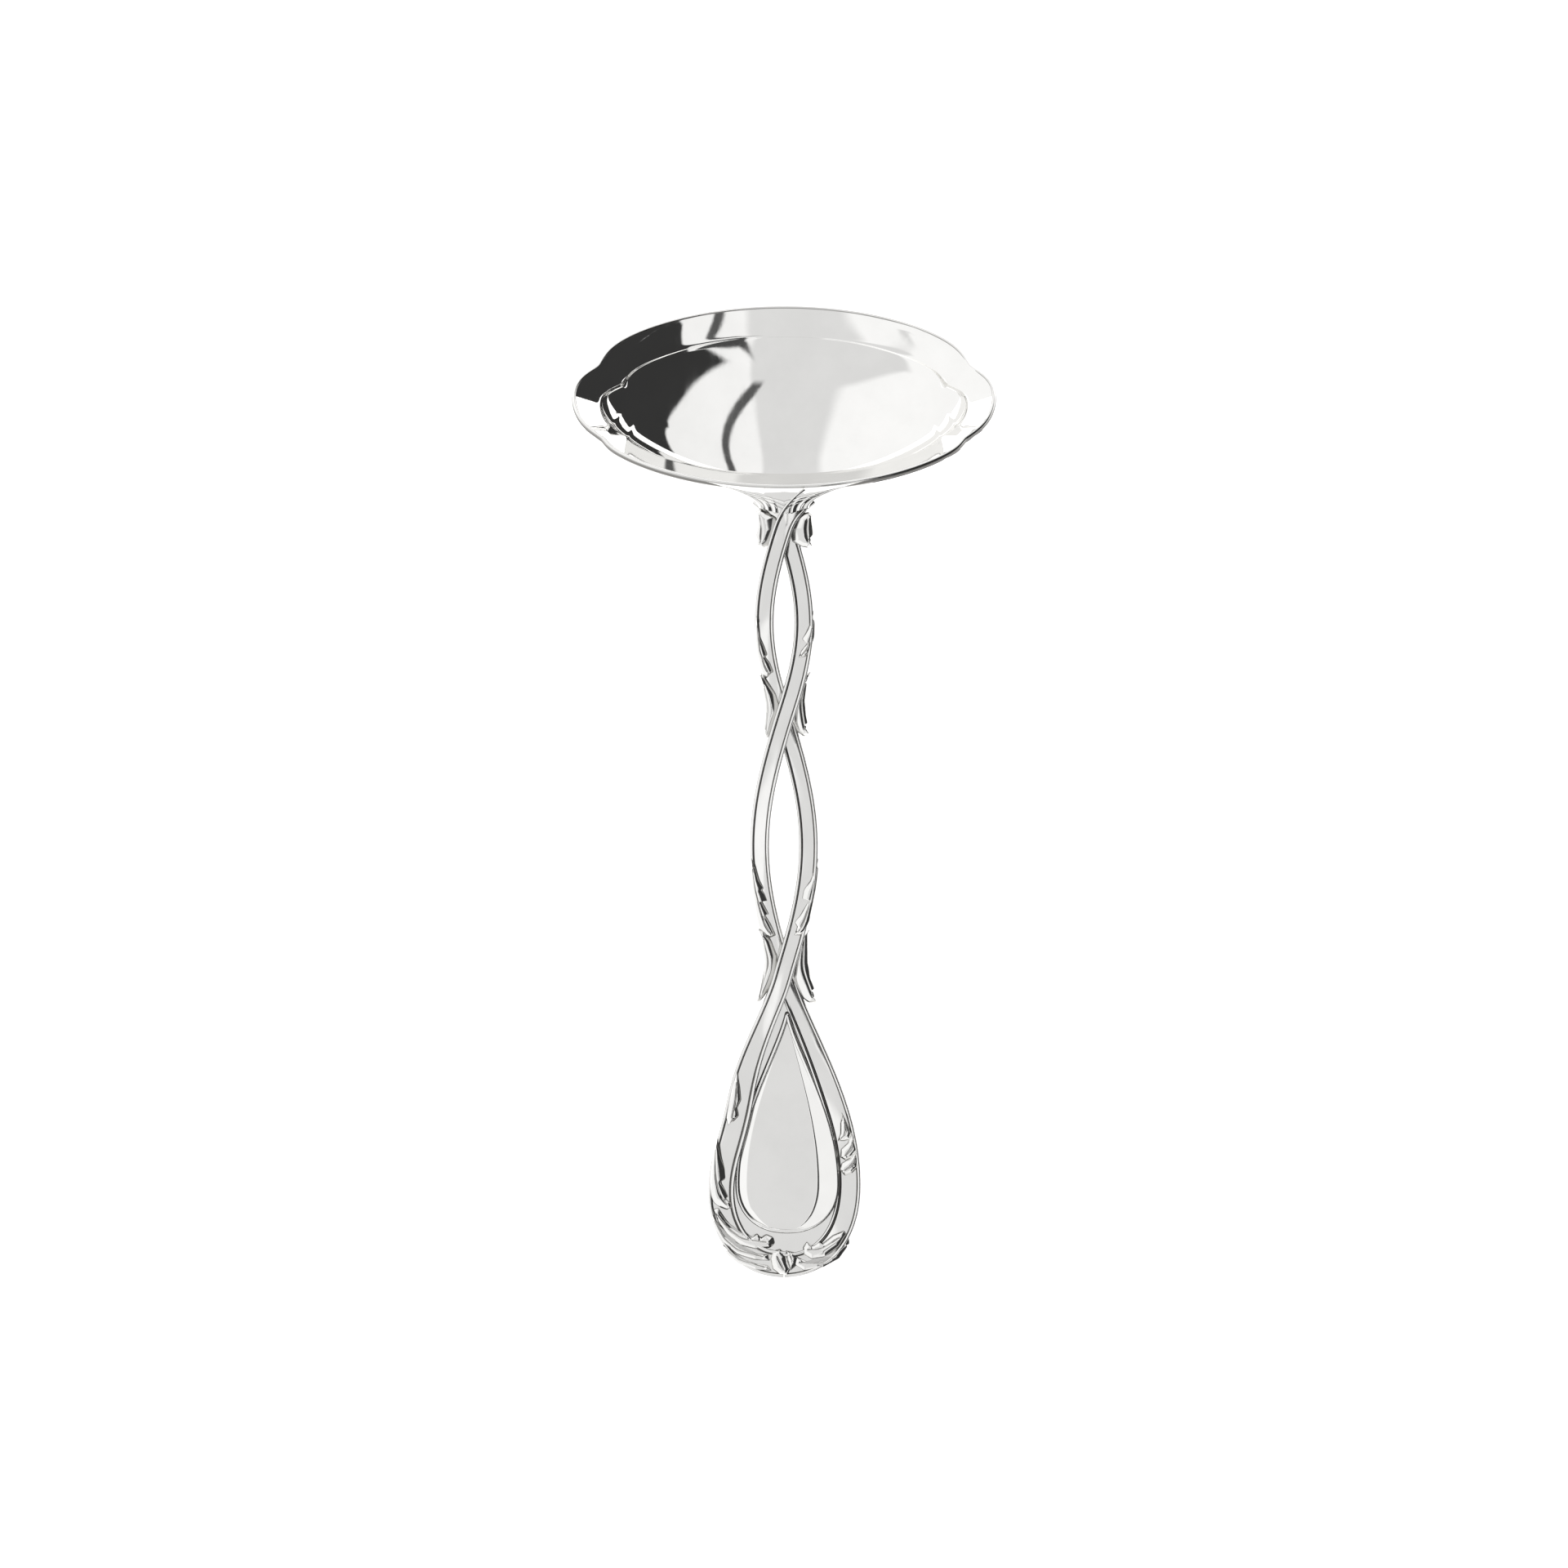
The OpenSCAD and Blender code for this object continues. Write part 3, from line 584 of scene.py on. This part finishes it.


# Each row: name, node, surface it starts from, the y that its points are measured from, and its lobes.
# A lobe: outline, spine, height over that surface and depth under it. Points are in millimetres, with x
# from the ladle's middle line. They were read off the photo, one leaf at a time.
LEAVES = [
    ("leaf_neck_left", "neck_sprig_left", beside, CROSS_1, [
        ([(-5.25, 2.51), (-4.95, 1.31), (-4.95, 0.26), (-5.46, -1.84), (-5.16, -2.74), (-5.25, -3.79),
          (-4.5, -3.94), (-3.75, -4.09), (-2.1, -3.19), (-0.6, -0.94), (-1.5, 1.61), (-4.2, 3.11)],
         [(-4.5, 1.91), (-4.05, -0.79), (-4.35, -3.34)], 0.75, 1.4)
    ]),
    ("leaf_neck_right", "neck_sprig_right", beside, CROSS_1, [
        ([(0.9, -0.49), (1.8, 1.91), (4.5, 2.51), (5.25, 1.91), (5.4, 0.11), (5.55, -1.69),
          (5.1, -2.44), (5.4, -3.94), (4.2, -4.09), (3, -3.79), (1.5, -2.89)],
         [(4.35, 1.31), (4.05, -0.79), (4.5, -3.34)], 0.75, 1.4)
    ]),
    ("leaf_upper_left", "upper_leaf_left", on_ribbon(1), CROSS_2, [
        ([(-5.1, 18.91), (-5.25, 16.51), (-5.25, 14.11), (-4.95, 11.41), (-4.5, 9.01), (-3.9, 7.81),
          (-3.15, 7.36), (-2.55, 8.11), (-1.88, 8.56), (-2.55, 10.21), (-3.45, 11.26), (-3, 11.71),
          (-3.6, 13.21), (-4.35, 14.71), (-4.8, 16.81)],
         [(-4.95, 17.41), (-4.5, 12.76), (-3.45, 9.31), (-2.85, 8.41)], 0.62, 0.9)
    ]),
    ("leaf_upper_right", "upper_leaf_right", on_ribbon(-1), CROSS_2, [
        ([(5.4, 19.81), (5.7, 17.26), (5.7, 15.01), (5.25, 13.06), (4.65, 11.86), (3.9, 11.26),
          (2.62, 11.11), (3.15, 12.46), (4.2, 13.81), (3.6, 14.11), (3.3, 14.56), (3.9, 15.61),
          (4.65, 17.26), (5.1, 19.21)],
         [(5.4, 18.31), (5.1, 15.01), (4.05, 12.46), (3.15, 11.56)], 0.62, 0.9)
    ]),
    ("leaf_middle_left", "upper_sprig_left", beside, CROSS_2, [
        ([(-4.5, 8.11), (-4.05, 5.26), (-3.6, 2.41), (-3.6, 0.01), (-3.9, -1.79), (-3.82, -3.29),
          (-3, -3.52), (-2.1, -2.54), (-1.35, -0.59), (-0.45, 1.21), (-1.5, 4.51), (-3.3, 7.21)],
         [(-3.6, 6.01), (-2.85, 2.11), (-3.3, -2.39)], 0.75, 1.5)
    ]),
    ("leaf_middle_right", "upper_sprig_right", beside, CROSS_2, [
        ([(4.95, 8.71), (4.35, 6.01), (4.12, 3.31), (4.35, 0.61), (4.65, -0.89), (4.2, -1.34),
          (4.88, -2.99), (3.6, -3.29), (2.4, -2.39), (1.5, -0.59), (1.2, 1.81), (2.4, 5.26),
          (3.9, 8.11)],
         [(3.9, 6.91), (3, 2.71), (3.75, -2.24)], 0.75, 1.5)
    ]),
    ("leaf_lower_left", "lower_leaf_left", on_ribbon(-1), CROSS_3, [
        ([(-6, 21.01), (-6.08, 18.61), (-6, 15.91), (-5.7, 12.91), (-5.25, 9.91), (-4.65, 7.81),
          (-3.6, 6.46), (-2.55, 6.16), (-1.43, 6.61), (-2.4, 8.71), (-3.45, 10.36), (-2.7, 10.51),
          (-3.45, 11.86), (-4.2, 13.21), (-3, 12.91), (-3.6, 14.41), (-4.05, 14.93), (-3.67, 15.31),
          (-4.5, 16.81), (-5.25, 19.21)],
         [(-5.85, 19.21), (-5.25, 15.01), (-4.5, 11.71), (-3.3, 8.11), (-2.25, 6.76)], 0.66, 0.9)
    ]),
    ("leaf_lower_right", "lower_leaf_right", on_ribbon(1), CROSS_3, [
        ([(6.3, 21.01), (6.38, 19.21), (6.22, 17.11), (6, 15.01), (5.55, 12.61), (4.95, 9.31),
          (4.2, 7.51), (3.15, 6.61), (1.8, 6.61), (2.4, 8.11), (1.95, 9.16), (2.85, 10.21),
          (3.45, 11.26), (4.5, 13.06), (3.9, 13.36), (3.3, 13.36), (3.6, 15.01), (4.8, 16.81),
          (5.7, 19.21)],
         [(6.15, 19.51), (5.4, 15.31), (4.5, 11.71), (3.6, 8.71), (2.55, 7.21)], 0.66, 0.9)
    ]),
    ("leaf_end_left", "lower_sprig_left", beside, CROSS_3, [
        ([(-4.8, 7.81), (-4.2, 4.81), (-3.9, 2.11), (-4.05, -0.29), (-4.5, -3.29), (-5.33, -5.77),
          (-4.5, -5.69), (-3.6, -4.64), (-2.4, -2.69), (-1.35, -0.29), (-1.2, 2.71), (-2.4, 5.71),
          (-3.9, 7.51)],
         [(-3.75, 6.01), (-2.7, 1.51), (-4.65, -5.09)], 0.75, 1.5)
    ]),
    ("leaf_end_right", "lower_sprig_right", beside, CROSS_3, [
        ([(4.65, 7.81), (4.65, 4.51), (4.65, 1.51), (5.1, -1.19), (5.92, -3.29), (5.4, -3.59),
          (6.3, -5.84), (4.5, -5.84), (3.6, -5.09), (2.4, -2.99), (1.35, -1.19), (1.5, 2.11),
          (3, 6.01)],
         [(3.6, 6.01), (3.3, 0.61), (5.4, -5.09)], 0.75, 1.5)
    ]),
    ("leaf_shoulder", "shoulder_leaf", on_border, Y_WIDE, [
        ([(-8.7, 20.81), (-8.1, 18.11), (-7.8, 15.56), (-8.55, 14.06), (-8.17, 12.56), (-9.15, 11.66),
          (-10.35, 10.76), (-10.65, 12.26), (-10.2, 15.11), (-9.6, 17.81)],
         [(-8.7, 19.16), (-8.85, 15.41), (-9.6, 12.11)], 0.6, 0.9)
    ]),
    ("leaf_side", "side_leaf", on_border, Y_WIDE, [
        ([(-12.3, 8.51), (-13.05, 5.81), (-13.5, 2.81), (-13.72, 0.41), (-13.57, -1.99),
          (-13.05, -3.49), (-11.85, -4.39), (-10.5, -4.99), (-9.45, -4.54), (-9.45, -3.64),
          (-10.65, -2.59), (-10.05, -2.29), (-10.65, -1.09), (-11.55, 0.26), (-10.57, 1.01),
          (-10.8, 2.81), (-11.4, 4.61), (-11.85, 6.71)],
         [(-12.6, 6.71), (-12.75, 1.91), (-12, -1.99), (-10.35, -4.09)], 0.7, 0.9)
    ]),
    ("leaf_base_left", "base_leaf_left", on_border, Y_END, [
        ([(-13.05, 12.71), (-12.15, 13.01), (-10.95, 11.21), (-9.6, 9.56), (-8.1, 8.51), (-6.9, 8.36),
          (-6.15, 7.61), (-4.95, 8.21), (-4.35, 7.46), (-3.3, 8.06), (-1.95, 7.46), (-1.65, 6.41),
          (-2.55, 5.51), (-5.25, 5.21), (-8.1, 5.96), (-10.5, 7.76), (-12.15, 10.16)],
         [(-12.45, 11.81), (-10.5, 9.26), (-7.8, 7.16), (-3, 6.56)], 0.7, 0.9),
        ([(-13.35, 11.81), (-12.45, 10.31), (-10.8, 7.61), (-8.4, 5.66), (-5.4, 4.61), (-2.7, 4.31),
          (-2.55, 3.11), (-5.4, 3.26), (-8.7, 4.31), (-11.4, 6.71), (-13.05, 9.71)],
         [(-12.9, 10.76), (-11.1, 7.31), (-8.55, 5.06), (-3.6, 3.86)], 0.5, 0.9),
        ([(-11.4, 6.11), (-8.7, 3.86), (-5.7, 2.66), (-3, 2.36), (-2.25, 1.31), (-5.4, 1.46),
          (-8.4, 2.66), (-10.5, 4.31)],
         [(-10.5, 5.21), (-8.1, 3.26), (-3.3, 1.91)], 0.45, 0.9)
    ]),
    ("leaf_base_right", "base_leaf_right", on_border, Y_END, [
        ([(3.45, 5.66), (4.2, 6.71), (5.1, 5.96), (6.45, 6.71), (7.2, 6.41), (9, 7.91), (11.1, 8.81),
          (11.7, 8.06), (10.2, 5.66), (7.65, 3.86), (5.1, 3.41), (3.6, 4.31)],
         [(4.2, 5.21), (6.9, 5.21), (10.5, 7.61)], 0.65, 0.9),
        ([(2.1, 4.01), (4.5, 2.96), (7.5, 3.26), (10.2, 5.06), (12, 7.46), (12.15, 6.26),
          (10.2, 3.56), (7.2, 1.91), (3.75, 1.31), (1.8, 2.51)],
         [(2.7, 2.81), (7.2, 2.66), (11.4, 6.11)], 0.45, 0.9)
    ]),
    ("leaf_wrap", "wrap_leaf", on_border, Y_WIDE, [
        ([(10.65, 13.31), (11.55, 11.51), (12.6, 9.26), (12.3, 8.21), (11.1, 7.91), (9.9, 7.91),
          (10.35, 9.26), (10.35, 11.21)],
         [(11.1, 11.81), (11.7, 9.26), (10.35, 8.36)], 0.75, 0.9),
        ([(12.45, 9.71), (13.35, 7.61), (13.65, 6.11), (12.6, 4.91), (11.4, 4.31), (10.35, 4.91),
          (10.5, 6.41), (11.7, 7.61)],
         [(12.75, 8.51), (12.75, 6.41), (11.1, 5.06)], 0.75, 0.9),
        ([(13.5, 6.71), (13.88, 4.61), (13.65, 2.96), (12.6, 1.91), (11.25, 1.46), (10.2, 2.66),
          (10.65, 3.86), (12.15, 4.76)],
         [(13.2, 5.51), (13.05, 3.41), (10.95, 2.36)], 0.75, 0.9)
    ]),
    ("end_bud_scroll", "end_bud", on_border, Y_END, [
        ([(-2.55, 3.41), (-2.25, 4.91), (-0.75, 5.36), (0.45, 4.31), (0.75, 2.81), (1.2, 1.61),
          (0.6, 0.41), (-0.75, 0.56), (-2.1, 1.61)],
         [(-1.35, 4.16), (-0.45, 2.51), (0.15, 1.16)], 0.8, 1.0),
        ([(0.3, 5.06), (1.8, 4.76), (2.7, 3.71), (2.25, 2.21), (1.2, 1.31), (0.6, 3.11)],
         [(1.05, 4.31), (1.65, 2.81)], 0.6, 1.0)
    ]),
]


# ---------------------------------------------------------------- teardrop end
def drop_half(y, wide, low, high):
    """Half the width of a teardrop at y."""
    below = wide * np.maximum(0, 1 - (np.abs(Y_WIDE - y) / (Y_WIDE - low)) ** 2.2) ** 0.45
    above = wide * np.maximum(0, cosd(90 * (y - Y_WIDE) / (high - Y_WIDE))) ** 1.25
    return np.where(y < Y_WIDE, below, above)


def end_slab(wide, low, high, shift, sec, n=120):
    """A teardrop slab with the section sec, as shares of its half width and heights."""
    a = np.linspace(0, 180, n)
    y = (low + 0.15) + (high - 0.4 - low - 0.15) * (1 - cosd(a)) / 2
    w = drop_half(y, wide, low, high)
    z = handle_z(y)
    sec = np.asarray(sec, float)
    rings = np.zeros((n, len(sec), 3))
    rings[..., 0] = shift + w[:, None] * sec[:, 0]
    rings[..., 1] = y[:, None]
    rings[..., 2] = z[:, None] + sec[:, 1]
    return skin(rings)


def end_back():
    h = BACK_TOP
    right = [(0.5, -Z_REST), (0.95, -Z_REST), (0.99, -1.2), (1, -0.6), (1, h - 0.5), (0.98, h), (0.5, h)]
    left = [(-u, z) for u, z in right]
    flat = left[4::-1] + [(0, -Z_REST)] + right + [(0, h)] + left[:4:-1]
    v, f = end_slab(END_W / 2 - 1.2, Y_END + 0.8, CROSS_3 + 1.0, 0, flat)
    make("end_plate_back", "end_back", "polished_silver", v, f, None, 40)


def teardrop_plate():
    """Its left border is steep, its middle is flat and its right side falls away from an S-shaped crest."""
    n = 200
    us = np.linspace(1, -1, 61)
    flat = [(-1, -0.7), (1, -0.7)] + [(u, PLATE_TOP) for u in us]
    v, f = end_slab(PLATE_W / 2, PLATE_LOW, PLATE_HIGH, PLATE_X, flat, n)
    grid = v[:-2].reshape(n, -1, 3)
    half = (grid[:, 1, 0] - grid[:, 0, 0])[:, None] / PLATE_W
    crest = 0.62 - 0.24 * np.abs(2 * np.linspace(0, 1, n) - 1)[:, None] ** 4
    y = grid[:, 0, 1]
    steep = 2 * (handle_z(y + 0.5) - handle_z(y - 0.5))
    right = 0.03 + 0.137 + 0.085 * (steep - 0.17)
    slope = 0.30 * (1 - step(-0.80, -0.74, us)) + 0.03 - right[:, None] * step(-0.05, 0.05, us - crest)
    rise = np.cumsum(slope[:, ::-1], 1)[:, ::-1] * PLATE_W / 2 * (us[0] - us[1])
    grid[:, 2:, 2] += half * rise
    make("teardrop_dome", "teardrop_plate", "polished_silver", v, f, None, 60)


def plate_bead():
    y = PLATE_LOW + (PLATE_HIGH - PLATE_LOW) * (1 - cosd(np.linspace(0, 180, 200))) / 2
    half = drop_half(y, PLATE_W / 2, PLATE_LOW, PLATE_HIGH)
    loop = np.vstack([np.stack([half, y], -1), np.stack([-half, y], -1)[-2:0:-1]])
    loop = soften(resample(loop, 420 * FINE, closed=True), 2.0 * FINE)
    t = unit(np.roll(loop, -1, 0) - np.roll(loop, 1, 0))
    rings, dark = [], []
    for w in np.arange(0, 360, 22.5):
        out = BEAD_R * cosd(w)
        rings.append(np.stack([PLATE_X + loop[:, 0] + t[:, 1] * out, loop[:, 1] - t[:, 0] * out,
                               handle_z(loop[:, 1]) + BEAD_TOP + BEAD_R * sind(w)], -1))
        # Painted shade on the bead's sides and underside
        dark.append(np.full(len(loop), 0.95 if abs(sind(w)) < 0.45 or sind(w) < 0 else 0.0))
    v, f = skin(np.array(rings).transpose(1, 0, 2), closed=True)
    make("plate_edge_bead", "plate_bead", "chased_silver", v, f, np.array(dark).T.ravel())


bowl_shell()
rim_thread()
neck_shoulder()
ribbon(1, "ribbon_over", "ribbon_one")
ribbon(-1, "ribbon_under", "ribbon_two")
for row in LEAVES:
    leaf(*row)
end_back()
teardrop_plate()
plate_bead()


# ---------------------------------------------------------------- studio
def floor():
    mesh = bpy.data.meshes.new("studio_floor")
    corners = [(-6, -6, 0), (6, -6, 0), (6, 6, 0), (-6, 6, 0)]
    mesh.from_pydata(corners, [], [(0, 1, 2, 3)])
    obj = bpy.data.objects.new("studio_floor", mesh)
    obj.location.z = -0.0002  # just under the ladle
    bpy.context.scene.collection.objects.link(obj)
    mat = bpy.data.materials.new("pale_paper")
    mat.use_nodes = True
    p = mat.node_tree.nodes["Principled BSDF"]
    p.inputs["Base Color"].default_value = (0.95, 0.95, 0.95, 1)
    p.inputs["Roughness"].default_value = 0.9
    p.inputs["Emission Color"].default_value = (1, 1, 1, 1)
    p.inputs["Emission Strength"].default_value = 0.7
    mesh.materials.append(mat)


def world():
    """A white tent round the ladle: a grey strip overhead, a grey side towards the handle, a thin dark seam,
    and dark openings on the +X side. Edges are planes through the ladle, as flat panels look from there.
    The planes and levels were fitted to where each edge shows in the photo's reflections."""
    w = bpy.data.worlds.new("studio")
    bpy.context.scene.world = w
    w.use_nodes = True
    nt = w.node_tree
    nt.nodes.clear()
    where = nt.nodes.new("ShaderNodeTexCoord").outputs["Generated"]

    def side(normal):
        n = nt.nodes.new("ShaderNodeVectorMath")
        n.operation = "DOT_PRODUCT"
        n.inputs[1].default_value = normal
        nt.links.new(where, n.inputs[0])
        return n.outputs["Value"]

    def ramp(v, a, b, low=0.0, high=1.0):
        r = nt.nodes.new("ShaderNodeMapRange")
        r.interpolation_type = "SMOOTHSTEP"
        for key, x in (("From Min", a), ("From Max", b), ("To Min", low), ("To Max", high)):
            r.inputs[key].default_value = x
        nt.links.new(v, r.inputs["Value"])
        return r.outputs[0]

    def maths(kind, a, b):
        m = nt.nodes.new("ShaderNodeMath")
        m.operation = kind
        for i, v in enumerate((a, b)):
            if isinstance(v, (int, float)):
                m.inputs[i].default_value = v
            else:
                nt.links.new(v, m.inputs[i])
        return m.outputs[0]

    def paint(under, mask, level):
        """under where mask is 0 and level where it is 1."""
        m = nt.nodes.new("ShaderNodeMix")
        nt.links.new(mask, m.inputs["Factor"])
        if isinstance(under, (int, float)):
            m.inputs[2].default_value = under
        else:
            nt.links.new(under, m.inputs[2])
        m.inputs[3].default_value = level
        return m.outputs[0]

    def both(*masks):
        m = masks[0]
        for other in masks[1:]:
            m = maths("MULTIPLY", m, other)
        return m

    x, y = side((1, 0, 0)), side((0, 1, 0))
    light = ramp(x, -0.2, 0.5, TENT, 0.95)
    light = paint(light, both(ramp(x, -0.19, -0.14), ramp(x, 0.085, 0.11, 1.0, 0.0)), GREY)
    near = both(ramp(y, 0.08, 0.13, 1.0, 0.0), ramp(y, -0.49, -0.45))
    light = paint(light, both(near, ramp(x, -0.56, -0.46), ramp(x, 0.09, 0.115, 1.0, 0.0)), GREY)
    bow = maths("MULTIPLY", maths("MULTIPLY", y, y), 0.26)
    seam = maths("ADD", side((0.9737, -0.5133, -0.078)), bow)
    seam = maths("ABSOLUTE", maths("ADD", seam, 0.032), 0)
    light = paint(light, both(ramp(seam, 0.010, 0.024, 1.0, 0.0), ramp(y, 0.05, 0.09)), SEAM)
    high = ramp(y, -0.17, -0.13)

    def edge(above, below):
        """A panel edge whose line is bent where the tent's corner lies."""
        m = nt.nodes.new("ShaderNodeMix")
        nt.links.new(high, m.inputs["Factor"])
        nt.links.new(side(below), m.inputs[2])
        nt.links.new(side(above), m.inputs[3])
        return ramp(m.outputs[0], -0.008, 0.008)

    left = edge((0.94, 0.332, -0.0824), (0.987, 0.106, -0.121))
    right = edge((0.743, 0.667, -0.0546), (0.966, 0.029, -0.2565))
    light = paint(light, both(left, maths("SUBTRACT", 1.0, right), ramp(y, 0.0, 0.05, 1.0, 0.0)), OPENING)
    gap = maths("MAXIMUM", side((0.775, -0.617, -0.133)), side((0.828, -0.465, -0.3125)))
    gap = both(ramp(gap, -0.010, 0.010), edge((0.878, 0.462, -0.125), (0.915, 0.333, -0.227)))
    light = paint(light, gap, PANEL)
    bg = nt.nodes.new("ShaderNodeBackground")
    out = nt.nodes.new("ShaderNodeOutputWorld")
    nt.links.new(light, bg.inputs["Color"])
    nt.links.new(bg.outputs[0], out.inputs[0])


def camera():
    """Straight above, so far off that the frame is FRAME_W wide at the middle of the ladle's height."""
    data = bpy.data.cameras.new("camera")
    data.sensor_width = 36
    cam = bpy.data.objects.new("camera", data)
    data.lens = 36 * (CAMERA_Z - FOCAL_Z) / FRAME_W
    data.clip_start, data.clip_end = 0.1, 20
    cam.location = (0, CAMERA_Y, CAMERA_Z)
    bpy.context.scene.collection.objects.link(cam)
    bpy.context.scene.camera = cam


floor()
world()
camera()
bpy.context.scene.view_settings.view_transform = "Standard"
